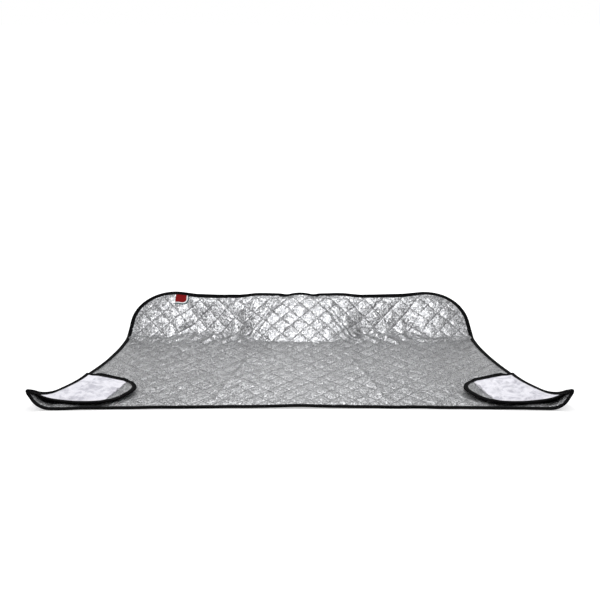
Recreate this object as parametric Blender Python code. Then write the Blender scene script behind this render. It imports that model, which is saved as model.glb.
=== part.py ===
"""Windshield frost cover: a quilted foil sheet with a fleece lining, a black edge binding and two
folded door flaps. It lies on its lining, with its rear strip propped up along a crease and its two
front corners curled.

Every sheet is drawn flat, x across the car and v back from the front edge, and is then laid out.
"""

import math

import bmesh
import bpy
from mathutils import Vector

# Flat outline of the cover, in metres: half widths, and distances back from the front edge
FRONT_HALF = 0.8366
SEAM_FRONT_PULL = (0.805, 0.075)
SEAM_REAR_PULL = (0.700, 0.175)
SEAM_TOP = (0.680, 0.298)
CREASE_HALF = 0.609
CREASE_BACK = 0.655
REAR_HALF = 0.589
REAR_BACK = 0.886
REAR_RADIUS = 0.150
REAR_DIP = 0.012
FRONT_BOW = 0.020
SIDE_BOW = 0.013

# Bends that the cover lies in
CURL_START = 0.735
CURL_RADIUS = 0.060
CURL_ANGLE = math.radians(62)
CURL_FACETS = 6
CREASE_RADIUS = 0.040
CREASE_ANGLE = math.radians(30)
CREASE_FACETS = 3

# Layers of the cover, from the ground up
LINING = 0.0023
FOIL = 0.0015
CLEARANCE = 0.0003
FLAP_CLEARANCE = 0.0007
TAPE = 0.0008

# Quilting
DIAMOND_WIDTH = 0.066
DIAMOND_DEPTH = 0.079
DIAMOND_SHIFT = 0.030
LOFT = 0.0042
FLAP_LOFT = 0.0020
UNDER_LOFT = 0.0026
STITCH_DIP = 0.011
RING_RISE = 0.72
WHOLE_CELL = 0.9
SMALL_CELL = 0.2

# Edge binding
BINDING_WIDTH = 0.012
BINDING_NOSE = 0.0016
EDGE_CLEARANCE = 0.0009
MARGIN = BINDING_WIDTH + 0.001
MARGIN_RAMP = 0.004
CORNER_REACH = 3.4 * MARGIN

# Door flap, folded over onto the foil: its free edge in the cover's flat coordinates
FLAP_SHOULDER = (0.545, 0.226)
FLAP_HEEL = (0.590, 0.036)
FLAP_TIP_REAR = (0.465, 0.174)
FLAP_TIP_FRONT = (0.515, 0.078)
FLAP_FRONT_LOW = (0.655, 0.024)
FLAP_FRONT_HIGH = (0.748, 0.060)
FLAP_FRONT_STEPS = 10
SEAM_STEPS = 6
FLAP_ROOT_STEP = 1
FLAP_LAYER = 0.0012
FLAP_REACH = 0.210
PATCH_SEAM = ((0.547, 0.184), (0.585, 0.039))

# Label sewn on beside the rear binding
LABEL_CENTRE_X = -0.428
LABEL_WIDTH = 0.048
LABEL_DEPTH = 0.042
LABEL_THICKNESS = 0.0006

BOW_TOLERANCE = 0.0002
SAME_POINT = 2e-5

# Heights of the layers above the ground, along the sheet's normal
MARGIN_BOTTOM = TAPE + CLEARANCE
FOIL_BOTTOM = LINING + CLEARANCE
FOIL_TOP = FOIL_BOTTOM + FOIL
BINDING_TOP = FOIL_TOP + CLEARANCE + TAPE
FLAP_TAPE_BOTTOM = BINDING_TOP + CLEARANCE
FLAP_BOTTOM = FLAP_TAPE_BOTTOM + TAPE + FLAP_CLEARANCE
FLAP_LINING_BOTTOM = FLAP_BOTTOM + FLAP_LAYER + CLEARANCE
FLAP_TOP = FLAP_LINING_BOTTOM + FLAP_LAYER
FLAP_BINDING_TOP = FLAP_TOP + FLAP_CLEARANCE + TAPE
SEAM_BINDING_TOP = FLAP_TOP + CLEARANCE + TAPE


class Bend:
    """A sheet that is flat up to `start`, then turns up through `angle` in flat facets."""

    def __init__(self, start, radius, angle, facets):
        self.start = start
        self.angle = angle
        self.facets = facets
        self.turn = angle / facets
        self.step = radius * self.turn
        self.corners = [(start, 0.0)]
        for i in range(facets):
            slope = (i + 0.5) * self.turn
            along, up = self.corners[-1]
            self.corners.append((along + self.step * math.cos(slope), up + self.step * math.sin(slope)))

    def lines(self):
        return [self.start + i * self.step for i in range(self.facets + 1)]

    def corner(self, i, height):
        """Corner i of the facets, offset by `height` along the mitre of its two neighbours."""
        before = max(i - 0.5, 0.0) * self.turn
        after = min(i + 0.5, self.facets) * self.turn
        mitre = (before + after) / 2
        reach = height / math.cos((after - before) / 2)
        along, up = self.corners[i]
        return along - reach * math.sin(mitre), up + reach * math.cos(mitre)

    def at(self, s, height):
        """Distance along the ground and height of a point s along the sheet."""
        facet = (s - self.start) / self.step
        if facet <= -1:
            return s, height
        if facet <= 0:
            shift = self.corner(0, height)[0] - self.start
            return s + shift * (1 + facet), height
        if facet >= self.facets:
            shift, up = self.corner(self.facets, height)
            past = (facet - self.facets) * self.step
            return shift + past * math.cos(self.angle), up + past * math.sin(self.angle)
        i = int(facet)
        part = facet - i
        a = self.corner(i, height)
        b = self.corner(i + 1, height)
        return a[0] + (b[0] - a[0]) * part, a[1] + (b[1] - a[1]) * part


CURL = Bend(CURL_START, CURL_RADIUS, CURL_ANGLE, CURL_FACETS)
CREASE = Bend(
    CREASE_BACK - CREASE_RADIUS * CREASE_ANGLE / 2, CREASE_RADIUS, CREASE_ANGLE, CREASE_FACETS
)
PLAN_DEPTH = CREASE.at(REAR_BACK, 0.0)[0]


def laid(x, v, height):
    """Where the cover's flat point (x, v) lies, `height` above the underside."""
    across, rise = CURL.at(abs(x), height)
    back, tilt = CREASE.at(v, height)
    return Vector((math.copysign(across, x), back - PLAN_DEPTH / 2, rise + tilt - height))


def bowed(start, end, bow):
    """Points from start to end, start included, on a shallow curve that bows to the left by `bow`."""
    a = Vector(start)
    b = Vector(end)
    left = Vector((a.y - b.y, b.x - a.x)).normalized()
    count = math.ceil(math.sqrt(abs(bow) / BOW_TOLERANCE))
    shares = [i / count for i in range(count)]
    return [a.lerp(b, t) + left * (4 * bow * t * (1 - t)) for t in shares]


def rounded(before, corner, after, radius, steps=8):
    """Points of an arc that rounds a corner between two straight edges."""
    c = Vector(corner)
    to_before = (Vector(before) - c).normalized()
    to_after = (Vector(after) - c).normalized()
    half = to_before.angle(to_after) / 2
    centre = c + (to_before + to_after).normalized() * radius / math.sin(half)
    reach = radius / math.tan(half)
    first = c + to_before * reach - centre
    sweep = math.pi - 2 * half
    turn = math.copysign(1, first.x * to_after.y - first.y * to_after.x)
    points = []
    for i in range(steps + 1):
        a = turn * sweep * i / steps
        points.append(
            centre
            + Vector(
                (
                    first.x * math.cos(a) - first.y * math.sin(a),
                    first.x * math.sin(a) + first.y * math.cos(a),
                )
            )
        )
    return points


def cubic(a, b, c, d, steps=8):
    """Points of a Bezier curve, both ends included."""
    points = []
    for i in range(steps + 1):
        t = i / steps
        u = 1 - t
        points.append(
            Vector(a) * u**3 + Vector(b) * 3 * u * u * t + Vector(c) * 3 * u * t * t + Vector(d) * t**3
        )
    return points


FRONT_CORNER = (FRONT_HALF, 0.0)
SEAM_LINE = cubic(FRONT_CORNER, SEAM_FRONT_PULL, SEAM_REAR_PULL, SEAM_TOP, SEAM_STEPS)
FLAP_SEAM = SEAM_LINE[FLAP_ROOT_STEP:]


def mirrored(points):
    return [Vector((-p.x, p.y)) for p in reversed(points)]


def cover_edges():
    """The cover's outline, counterclockwise, as its front, right seam, rear and left seam edges."""
    left = (-FRONT_HALF, 0.0)
    crease = (CREASE_HALF, CREASE_BACK)
    corner = (REAR_HALF, REAR_BACK)
    front = bowed(left, FRONT_CORNER, FRONT_BOW) + [Vector(FRONT_CORNER)]
    side = bowed(SEAM_TOP, crease, SIDE_BOW) + [Vector(crease)]
    rear_corner = rounded(crease, corner, (-REAR_HALF, REAR_BACK), REAR_RADIUS)
    half = side + rear_corner
    straight = bowed(half[-1], mirrored(half)[0], REAR_DIP)
    rear = half + straight[1:] + mirrored(half)
    return [front, SEAM_LINE, rear, mirrored(SEAM_LINE)]


def rear_edge_at(x):
    """How far back the cover's rear edge lies at x."""
    rear = cover_edges()[2]
    for a, b in zip(rear, rear[1:]):
        if b.x <= x <= a.x and a.y > CREASE_BACK:
            return a.y + (b.y - a.y) * (a.x - x) / (a.x - b.x)
    return REAR_BACK


def flap_free_edge():
    """The right flap's free edge, from its rear root round its tip to its front root on the seam."""
    tip = cubic(FLAP_SHOULDER, FLAP_TIP_REAR, FLAP_TIP_FRONT, FLAP_HEEL)
    rear = [Vector(SEAM_TOP).lerp(Vector(FLAP_SHOULDER), i / 4) for i in range(4)]
    root = FLAP_SEAM[0]
    front = cubic(FLAP_HEEL, FLAP_FRONT_LOW, FLAP_FRONT_HIGH, root, FLAP_FRONT_STEPS)
    front = [p for p in front if (p - root).length > CORNER_REACH] + [root]
    return rear + tip[:-1] + front


def foot_on_seam(x, v):
    """The nearest point of the seam line, and its distance."""
    p = Vector((x, v))
    best = None
    for a, b in zip(SEAM_LINE, SEAM_LINE[1:]):
        along = b - a
        share = min(1.0, max(0.0, (p - a).dot(along) / along.length_squared))
        foot = a + along * share
        far = (p - foot).length
        if best is None or far < best[1]:
            best = (foot, far)
    return best


def flap_laid(x, v, height):
    """Where a point of the folded flap lies: in the seam beside the cover, then down to rest on it."""
    foot, far = foot_on_seam(abs(x), v)
    if far <= MARGIN + SAME_POINT:
        return laid(x, v, height)
    inward = (Vector((abs(x), v)) - foot) / far
    turn = foot + inward * MARGIN
    root = laid(turn.x, turn.y, height)
    past = far - MARGIN
    hang = max(0.0, 1 - past / FLAP_REACH) ** 2
    across = root.x + inward.x * past
    return Vector((math.copysign(across, x), root.y + inward.y * past, height + (root.z - height) * hang))


def cut(bm, faces, point, normal):
    """Splits the given faces along a line."""
    edges = {e for f in faces for e in f.edges}
    verts = {v for f in faces for v in f.verts}
    bmesh.ops.bisect_plane(
        bm,
        geom=list(verts) + list(edges) + list(faces),
        dist=SAME_POINT,
        plane_co=(point[0], point[1], 0.0),
        plane_no=(normal[0], normal[1], 0.0),
    )


def cut_at_bends(bm):
    for line in CURL.lines():
        cut(bm, bm.faces[:], (line, 0.0), (1.0, 0.0))
        cut(bm, bm.faces[:], (-line, 0.0), (1.0, 0.0))
    for line in CREASE.lines():
        cut(bm, bm.faces[:], (0.0, line), (0.0, 1.0))


def flat_cells(outline, rings, is_quilted):
    """A flat mesh of the outline, with margin rings, bend lines and diamond seams as edges.

    Faces inside the rings are marked 1 in the layer "quilt", and the seams cut those whose centre
    is_quilted.
    """
    bm = bmesh.new()
    quilt = bm.faces.layers.int.new("quilt")
    field = bm.faces.new([bm.verts.new((p.x, p.y, 0.0)) for p in outline])
    bm.normal_update()
    for ring in rings:
        bmesh.ops.inset_region(
            bm, faces=[field], thickness=ring, use_boundary=True, use_even_offset=True
        )
    for face in bm.faces:
        face[quilt] = 0
    field[quilt] = 1
    cut_at_bends(bm)
    low = min(p.x for p in outline) / DIAMOND_WIDTH - REAR_BACK / DIAMOND_DEPTH
    high = max(p.x for p in outline) / DIAMOND_WIDTH + REAR_BACK / DIAMOND_DEPTH
    for lean in (1, -1):
        normal = (1 / DIAMOND_WIDTH, lean / DIAMOND_DEPTH)
        for k in range(math.floor(low), math.ceil(high) + 1):
            faces = [f for f in bm.faces if f[quilt] and is_quilted(f.calc_center_median())]
            cut(bm, faces, (k * DIAMOND_WIDTH, DIAMOND_SHIFT), normal)
    return bm


def raise_sheet(bm, bottom, top):
    """Makes the flat cells a solid between two heights, and returns the faces on top."""
    for v in bm.verts:
        v.co.z = bottom
    made = bmesh.ops.extrude_face_region(bm, geom=bm.faces[:])["geom"]
    for v in made:
        if isinstance(v, bmesh.types.BMVert):
            v.co.z = top
    return [f for f in made if isinstance(f, bmesh.types.BMFace)]


def puff(bm, cells, loft, is_pressed):
    """Raises each quilted cell into a pillow, up from its stitched edges."""
    quilt = bm.faces.layers.int["quilt"]
    full_area = DIAMOND_WIDTH * DIAMOND_DEPTH / 2
    for cell in cells:
        if not cell[quilt] or is_pressed(cell.calc_center_median()):
            continue
        share = min(1.0, cell.calc_area() / full_area)
        base = cell.verts[0].co.z
        if share > WHOLE_CELL:
            bmesh.ops.inset_individual(
                bm, faces=[cell], thickness=STITCH_DIP, use_even_offset=True
            )
            for v in cell.verts:
                v.co.z = base + loft * RING_RISE
        if share > SMALL_CELL:
            top = bmesh.ops.poke(bm, faces=[cell])["verts"][0]
            top.co.z = base + loft * math.sqrt(share)


def crown(bm):
    """Gives each quilted cell a centre vertex, and leaves only triangles for the layers to share."""
    quilt = bm.faces.layers.int["quilt"]
    height = bm.verts.layers.float.new("crown")
    full_area = DIAMOND_WIDTH * DIAMOND_DEPTH / 2
    for cell in [f for f in bm.faces if f[quilt]]:
        share = min(1.0, cell.calc_area() / full_area)
        centre = bmesh.ops.poke(bm, faces=[cell])["verts"][0]
        centre[height] = math.sqrt(share) if share > SMALL_CELL else 0.0
    bmesh.ops.triangulate(bm, faces=[f for f in bm.faces if len(f.verts) > 3])


def material(name, colour, roughness, metallic=0.0):
    made = bpy.data.materials.new(name)
    made.use_nodes = True
    made.diffuse_color = (*colour, 1.0)
    shader = made.node_tree.nodes["Principled BSDF"]
    shader.inputs["Base Color"].default_value = (*colour, 1.0)
    shader.inputs["Roughness"].default_value = roughness
    shader.inputs["Metallic"].default_value = metallic
    return made


def finish(name, bm, place, finish_material, collection):
    """Lays the flat solid out and adds it as one named object."""
    for v in bm.verts:
        v.co = place(v.co.x, v.co.y, v.co.z)
    bmesh.ops.recalc_face_normals(bm, faces=bm.faces[:])
    if bm.calc_volume(signed=True) < 0:
        bmesh.ops.reverse_faces(bm, faces=bm.faces[:])
    mesh = bpy.data.meshes.new(name)
    bm.to_mesh(mesh)
    bm.free()
    mesh.materials.append(finish_material)
    mesh.shade_smooth()
    mesh.set_sharp_from_angle(angle=math.radians(35))
    made = bpy.data.objects.new(name, mesh)
    collection.objects.link(made)
    return made


def binding_section(bottom, top):
    """The folded tape in section: (outward, height) points, a leg below, a round nose, a leg above."""
    lower = bottom + TAPE
    upper = top - TAPE
    nose = EDGE_CLEARANCE + BINDING_NOSE
    middle = (top - bottom) / 2
    return [
        (-BINDING_WIDTH, bottom),
        (EDGE_CLEARANCE, bottom),
        (nose * 0.8, bottom + middle * 0.4),
        (nose, bottom + middle),
        (nose * 0.8, top - middle * 0.4),
        (EDGE_CLEARANCE, top),
        (-BINDING_WIDTH, top),
        (-BINDING_WIDTH, upper),
        (EDGE_CLEARANCE, upper),
        (EDGE_CLEARANCE, lower),
        (-BINDING_WIDTH, lower),
    ]


def mitre(before, here, after):
    """Outward direction that halves the corner of a counterclockwise edge."""
    back = (here - before).normalized()
    on = (after - here).normalized()
    return Vector((back.y + on.y, -back.x - on.x)).normalized()


def binding(path, start_lean, end_lean, bottom, tops):
    """A tape swept along a flat counterclockwise path, with its top height given at each point.

    Its two ends are cut along the given directions.
    """
    bm = bmesh.new()
    rings = []
    last = len(path) - 1
    for i, here in enumerate(path):
        on = (path[min(i + 1, last)] - path[min(i, last - 1)]).normalized()
        if i == 0:
            outward = start_lean
            here = here + on * CLEARANCE
        elif i == last:
            outward = end_lean
            here = here - on * CLEARANCE
        else:
            outward = mitre(path[i - 1], here, path[i + 1])
        stretch = 1 / outward.dot(Vector((on.y, -on.x)))
        ring = []
        for out, height in binding_section(bottom, tops[i]):
            p = here + outward * out * stretch
            ring.append(bm.verts.new((p.x, p.y, height)))
        rings.append(ring)
    for a, b in zip(rings, rings[1:]):
        for j in range(len(a)):
            k = (j + 1) % len(a)
            bm.faces.new((a[j], a[k], b[k], b[j]))
    bm.faces.new(rings[0])
    bm.faces.new(list(reversed(rings[-1])))
    cut_at_bends(bm)
    return bm


def side_of(bm, sign):
    """Mirrors a right-hand mesh to the left where sign is -1."""
    for v in bm.verts:
        v.co.x *= sign
    return bm


def near_flap(point):
    """True where the folded flap, or the row of quilting beside it, holds the foil flat."""
    edge = [*flap_free_edge(), *FLAP_SEAM]
    p = Vector((abs(point.x), point.y))
    inside = False
    for a, b in zip(edge, edge[1:] + edge[:1]):
        if (a.y > p.y) != (b.y > p.y) and p.x < a.x + (b.x - a.x) * (p.y - a.y) / (b.y - a.y):
            inside = not inside
        along = b - a
        share = min(1.0, max(0.0, (p - a).dot(along) / max(along.length_squared, 1e-12)))
        if (a + along * share - p).length < DIAMOND_DEPTH / 2:
            return True
    return inside


def under_label(point):
    across = abs(point.x - LABEL_CENTRE_X) - LABEL_WIDTH / 2
    return across < DIAMOND_WIDTH / 2 and point.y > REAR_BACK - BINDING_WIDTH - LABEL_DEPTH - DIAMOND_DEPTH / 2


def between_curls(point):
    return abs(point.x) < CURL_START


def on_propped_strip(point):
    return point.y > CREASE.lines()[-1]


def cover_cells(edges, is_quilted):
    outline = [p for edge in edges for p in edge[:-1]]
    return flat_cells(outline, (MARGIN, MARGIN_RAMP), is_quilted)


def build_cover(edges, finishes, collection):
    foil = cover_cells(edges, between_curls)
    top = raise_sheet(foil, FOIL_BOTTOM, FOIL_TOP)
    puff(foil, top, LOFT, lambda p: near_flap(p) or under_label(p))
    finish("quilted_foil_face", foil, laid, finishes["foil"], collection)

    lining = cover_cells(edges, on_propped_strip)
    quilt = lining.faces.layers.int["quilt"]
    margin = [v for v in lining.verts if not any(f[quilt] for f in v.link_faces)]
    raise_sheet(lining, 0.0, LINING)
    for v in margin:
        v.co.z = MARGIN_BOTTOM
    under = [f for f in lining.faces if max(v.co.z for v in f.verts) < SAME_POINT]
    puff(lining, under, -UNDER_LOFT, lambda p: not on_propped_strip(p))
    finish("fleece_lining", lining, laid, finishes["fleece"], collection)


def build_cover_binding(edges, finishes, collection):
    names = ("front_binding", "right_seam_binding", "rear_binding", "left_seam_binding")
    seam_tops = [BINDING_TOP] * FLAP_ROOT_STEP + [SEAM_BINDING_TOP] * len(FLAP_SEAM)
    tops = ([BINDING_TOP] * len(edges[0]), seam_tops, [BINDING_TOP] * len(edges[2]), seam_tops[::-1])
    for i, name in enumerate(names):
        edge = edges[i]
        start = mitre(edges[i - 1][-2], edge[0], edge[1])
        end = mitre(edge[-2], edge[-1], edges[(i + 1) % len(edges)][1])
        tape = binding(edge, start, end, 0.0, tops[i])
        finish(name, tape, laid, finishes["tape"], collection)


def flap_part(cells, keep_tip):
    """A copy of the flap's cells on one side of the patch seam, drawn back from the seam."""
    a = Vector(PATCH_SEAM[0])
    along = (Vector(PATCH_SEAM[1]) - a).normalized()
    tipward = Vector((along.y, -along.x))
    if tipward.x > 0:
        tipward = -tipward
    side = 1 if keep_tip else -1
    part = cells.copy()
    wrong = [f for f in part.faces if (f.calc_center_median().xy - a).dot(tipward) * side < 0]
    bmesh.ops.delete(part, geom=wrong, context="FACES")
    for v in part.verts:
        if abs((v.co.xy - a).dot(tipward)) < CLEARANCE / 4:
            v.co.xy += tipward * side * CLEARANCE / 2
    return part


def cut_turn_at_ends(bm):
    """Carries the line where the flap leaves its seam on through the hems at both its ends."""
    quilt = bm.faces.layers.int["quilt"]
    for end, inner in ((FLAP_SEAM[0], FLAP_SEAM[1]), (FLAP_SEAM[-1], FLAP_SEAM[-2])):
        along = (inner - end).normalized()
        inward = Vector((along.y, -along.x))
        if inward.x > 0:
            inward = -inward
        hem = [
            f
            for f in bm.faces
            if not f[quilt] and (f.calc_center_median().xy - end).length < 4 * MARGIN
        ]
        cut(bm, hem, end + inward * MARGIN, inward)


def build_flap(side, sign, finishes, collection):
    free = flap_free_edge()
    outline = free[:-1] + FLAP_SEAM[:-1]
    cells = flat_cells(outline, (MARGIN,), between_curls)
    seam = Vector(PATCH_SEAM[1]) - Vector(PATCH_SEAM[0])
    cut(cells, cells.faces[:], PATCH_SEAM[0], (seam.y, -seam.x))
    cut_turn_at_ends(cells)
    crown(cells)

    face = cells.copy()
    raise_sheet(face, FLAP_BOTTOM, FLAP_BOTTOM + FLAP_LAYER)
    finish(f"{side}_flap_face", side_of(face, sign), flap_laid, finishes["foil"], collection)

    lining = flap_part(cells, keep_tip=False)
    height = lining.verts.layers.float["crown"]
    for v in {v for f in raise_sheet(lining, FLAP_LINING_BOTTOM, FLAP_TOP) for v in f.verts}:
        v.co.z += FLAP_LOFT * v[height]
    finish(f"{side}_flap_lining", side_of(lining, sign), flap_laid, finishes["fleece"], collection)

    patch = flap_part(cells, keep_tip=True)
    raise_sheet(patch, FLAP_LINING_BOTTOM, FLAP_TOP)
    finish(f"{side}_flap_tip_patch", side_of(patch, sign), flap_laid, finishes["foil"], collection)
    cells.free()

    bare = MARGIN + EDGE_CLEARANCE + BINDING_NOSE + CLEARANCE
    path = [p for p in free if foot_on_seam(p.x, p.y)[1] > bare + BINDING_WIDTH]
    start = edge_point_at(free, bare)
    end = edge_point_at(list(reversed(free)), bare)
    path = [start, *path, end]
    rear_lean = (FLAP_SEAM[-1] - FLAP_SEAM[-2]).normalized()
    front_lean = (FLAP_SEAM[0] - FLAP_SEAM[1]).normalized()
    tops = [FLAP_BINDING_TOP] * len(path)
    tape = binding(path, rear_lean, front_lean, FLAP_TAPE_BOTTOM, tops)
    finish(f"{side}_flap_binding", side_of(tape, sign), flap_laid, finishes["tape"], collection)


def edge_point_at(edge, distance):
    """The first point along an edge that lies `distance` from the seam line."""
    for a, b in zip(edge, edge[1:]):
        near = foot_on_seam(a.x, a.y)[1]
        far = foot_on_seam(b.x, b.y)[1]
        if near <= distance < far:
            return a.lerp(b, (distance - near) / (far - near))
    return edge[-1]


def build_label(finishes, collection):
    bm = bmesh.new()
    bmesh.ops.create_cube(bm, size=1.0)
    ends = (LABEL_CENTRE_X - LABEL_WIDTH / 2, LABEL_CENTRE_X + LABEL_WIDTH / 2)
    back = min(rear_edge_at(x) for x in ends) - BINDING_WIDTH - CLEARANCE
    for v in bm.verts:
        v.co.x = LABEL_CENTRE_X + v.co.x * LABEL_WIDTH
        v.co.y = back + (v.co.y - 0.5) * LABEL_DEPTH
        v.co.z = FOIL_TOP + CLEARANCE + (v.co.z + 0.5) * LABEL_THICKNESS
    finish("rear_label", bm, laid, finishes["label"], collection)


def main():
    for old in list(bpy.data.objects):
        bpy.data.objects.remove(old, do_unlink=True)
    collection = bpy.data.collections.new("windshield_frost_cover")
    bpy.context.scene.collection.children.link(collection)
    finishes = {
        "foil": material("quilted_silver_foil", (0.62, 0.63, 0.65), 0.38, 0.9),
        "fleece": material("white_fleece", (0.83, 0.82, 0.87), 0.95),
        "tape": material("black_binding_tape", (0.012, 0.012, 0.014), 0.8),
        "label": material("red_label", (0.22, 0.015, 0.02), 0.7),
    }
    edges = cover_edges()
    build_cover(edges, finishes, collection)
    build_cover_binding(edges, finishes, collection)
    build_flap("right", 1, finishes, collection)
    build_flap("left", -1, finishes, collection)
    build_label(finishes, collection)


main()
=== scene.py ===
"""The finished look of the windshield frost cover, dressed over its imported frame.

Every sheet is drawn flat, x across the car and v back from the front edge, and is then laid out.
"""

import math

import bpy
import numpy as np
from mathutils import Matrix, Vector
from mathutils.geometry import delaunay_2d_cdt


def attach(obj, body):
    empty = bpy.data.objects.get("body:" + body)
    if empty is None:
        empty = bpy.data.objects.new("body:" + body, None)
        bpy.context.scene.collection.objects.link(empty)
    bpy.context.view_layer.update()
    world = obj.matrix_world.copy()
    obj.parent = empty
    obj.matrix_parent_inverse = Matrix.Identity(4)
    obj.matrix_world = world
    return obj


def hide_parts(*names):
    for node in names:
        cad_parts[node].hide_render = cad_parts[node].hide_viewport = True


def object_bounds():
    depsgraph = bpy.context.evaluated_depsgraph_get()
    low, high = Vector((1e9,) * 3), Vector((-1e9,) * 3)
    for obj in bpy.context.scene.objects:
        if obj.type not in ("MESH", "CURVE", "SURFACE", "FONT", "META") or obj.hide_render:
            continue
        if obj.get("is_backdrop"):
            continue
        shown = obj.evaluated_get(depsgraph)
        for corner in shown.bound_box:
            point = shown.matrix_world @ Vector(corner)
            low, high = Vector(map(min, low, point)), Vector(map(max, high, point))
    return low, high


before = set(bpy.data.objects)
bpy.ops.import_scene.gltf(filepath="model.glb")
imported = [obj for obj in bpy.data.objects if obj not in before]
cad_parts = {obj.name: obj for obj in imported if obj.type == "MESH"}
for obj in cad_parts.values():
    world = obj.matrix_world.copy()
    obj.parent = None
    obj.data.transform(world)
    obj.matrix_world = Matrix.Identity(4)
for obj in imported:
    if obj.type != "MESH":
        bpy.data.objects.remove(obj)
CAD_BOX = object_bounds()

# Flat outline of the cover, in metres: half widths, and distances back from the front edge
FRONT_HALF = 0.8366
SEAM_FRONT_PULL = (0.805, 0.075)
SEAM_REAR_PULL = (0.700, 0.175)
SEAM_TOP = (0.680, 0.298)
CREASE_HALF = 0.609
CREASE_BACK = 0.655
REAR_HALF = 0.589
REAR_BACK = 0.886
REAR_RADIUS = 0.150
REAR_DIP = 0.012
FRONT_BOW = 0.020
SIDE_BOW = 0.013
CORNER_RADIUS = 0.010
SEAM_STEPS = 24
LONG_EDGE_STEPS = 24
SMALL_ARC_STEPS = 8

# Bends that the cover lies in
CURL_START = 0.735
CURL_RADIUS = 0.060
CURL_ANGLE = math.radians(62)
CREASE_RADIUS = 0.040
CREASE_ANGLE = math.radians(30)

# Where the crease runs on the right half, as seen from above: x, back, and the bend's radius there
CREASE_RUN = (
    (0.000, 0.604, 0.016),
    (0.110, 0.618, 0.016),
    (0.165, 0.650, 0.030),
    (0.220, 0.715, 0.050),
    (0.380, 0.725, 0.060),
    (0.440, 0.672, 0.060),
    (0.527, 0.664, 0.050),
    (0.620, 0.668, 0.040),
)
WANDER = 0.006
WANDER_CELL = 0.06
WANDER_SEED = 51

# Door flap, folded over onto the foil: its free edge in the cover's flat coordinates
FLAP_SHOULDER = (0.545, 0.226)
FLAP_HEEL = (0.590, 0.036)
FLAP_TIP_REAR = (0.465, 0.174)
FLAP_TIP_FRONT = (0.515, 0.078)
FLAP_FRONT_LOW = (0.655, 0.024)
FLAP_FRONT_HIGH = (0.738, 0.074)
FLAP_REAR_STEPS = 12
FLAP_ROOT_SHARE = 1 / 6
FLAP_REACH = 0.210
FLAP_FALL = 5
PATCH_SEAM = ((0.547, 0.184), (0.585, 0.039))

# Heights of the layers above the ground, along the sheet's normal
TAPE = 0.0008
LINING_TOP = 0.0023
FOIL_BOTTOM = 0.0026
FOIL_TOP = 0.0041
BINDING_TOP = 0.0052
FLAP_TAPE_BOTTOM = 0.0061
FLAP_BOTTOM = 0.0070
FLAP_FACE_TOP = 0.0082
FLAP_LINING_BOTTOM = 0.0085
FLAP_TOP = 0.0097
FLAP_BINDING_TOP = 0.0106
SEAM_BINDING_TOP = 0.0108

# Where the flap's free edge turns up: lift, reach inwards, and its start and run past the seam
TIP_RIM = (0.0045, 0.050, 0.08, 0.10)
REAR_RIM = (0.0090, 0.024, 0.01, 0.03)
RIM_UNEVEN = 0.5
RIM_CELL = 0.06
RIM_SEED = 61

# Quilting: its seams, and the height of its pillows, of which each part of the cover has a share
DIAMOND_WIDTH = 0.066
DIAMOND_DEPTH = 0.079
DIAMOND_SHIFT = 0.030
PILLOW_POWER = 0.6
LOFT = 0.0042
FLAT_LOFT = 0.45
STRIP_LOFT = 0.35
PUFF_RAMP = 0.022
LINING_RISE = 0.0011
LINING_PUFF = 0.0024
LINING_RAMP = 0.010

# Puckers that run out from the quilting seams: height, their shares of it, wavelength, reach, and
# how their phase wanders
PUCKER = 0.0007
FLAT_PUCKER = 0.4
STRIP_PUCKER = 0.6
PUCKER_WAVE = 0.013
PUCKER_REACH = 0.009
PUCKER_WANDER = 2.4
PUCKER_CELL = 0.022
PUCKER_SEED = 41
PUCKER_SHIFT = 1.7
PUCKER_STRIDE = 0.37

# Crumple of the foil: heights, and the sizes of its large and small facets
CRUMPLE = 0.0010
STRIP_CRUMPLE = 0.0012
LARGE_FACET = 0.034
SMALL_FACET = 0.016
FACET_TURNS = (0.6, -0.9)
LARGE_SEED = 5
SMALL_SEED = 7
FACET_RATIO = 0.73

# Waves of the whole sheet: height, cell and seed
STRIP_WAVE = (0.0035, 0.16, 21)
FLAT_SWELL = (0.0020, 0.11, 22)
RUFFLE = (0.0010, 0.07, 23)

# The front edge's lift in its middle: height, half width and reach back
FRONT_LIFT = (0.0040, 0.11, 0.05)

# Where the relief starts and fades, each as a start and a run
STRIP_RAMP = (CREASE_BACK, 0.12)
FOIL_STRIP_RAMP = (CREASE_BACK - 0.06, 0.10)
EDGE_RAMP = (0.02, 0.10)
FLAP_RAMP = (0.006, 0.030)
LABEL_RAMP = (0.0, 0.02)

# The most of its room above the ground that the sheet may sink, and that its lining's puff may fill
SINK_SHARE = 0.6
PUFF_SHARE = 0.3

# Wrinkles of the flap's fleece and of its patch: heights and cells
FLEECE_SWELL = 0.0016
FLEECE_SWELL_CELL = 0.045
FLEECE_WRINKLE = 0.0100
FLEECE_CELLS = (0.040, 0.018)
FLEECE_SEEDS = (31, 33, 35)
SMALL_WRINKLE = 0.5
FLEECE_RAMP = 0.02
PATCH_WRINKLE = 0.0005
PATCH_CELL = 0.012
WRINKLE_SEED = 9
PATCH_RAMP = 0.01

# Thread: half thickness, the stitches' spacing in the quilting and in the tapes, and their half
# length as a share of it
THREAD = 0.00045
STITCH = 0.0050
EDGE_STITCH = 0.0035
STITCH_SHARE = 0.38
EDGE_STITCH_INSET = 0.0025

# Edge binding
BINDING_WIDTH = 0.012
BINDING_NOSE = 0.0016
EDGE_CLEARANCE = 0.0009
FLAP_TAPE_TUCK = 0.0020
MARGIN = BINDING_WIDTH + 0.001

# Label sewn on beside the rear binding
LABEL_CENTRE_X = -0.428
LABEL_WIDTH = 0.048
LABEL_DEPTH = 0.042
LABEL_ROUND = 0.026
LABEL_TRIM = 0.0040
LABEL_GAP = 0.001
LABEL_CLEARANCE = 0.0002
LABEL_STEP = 0.0005
LABEL_THICKNESS = 0.0004

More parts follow.
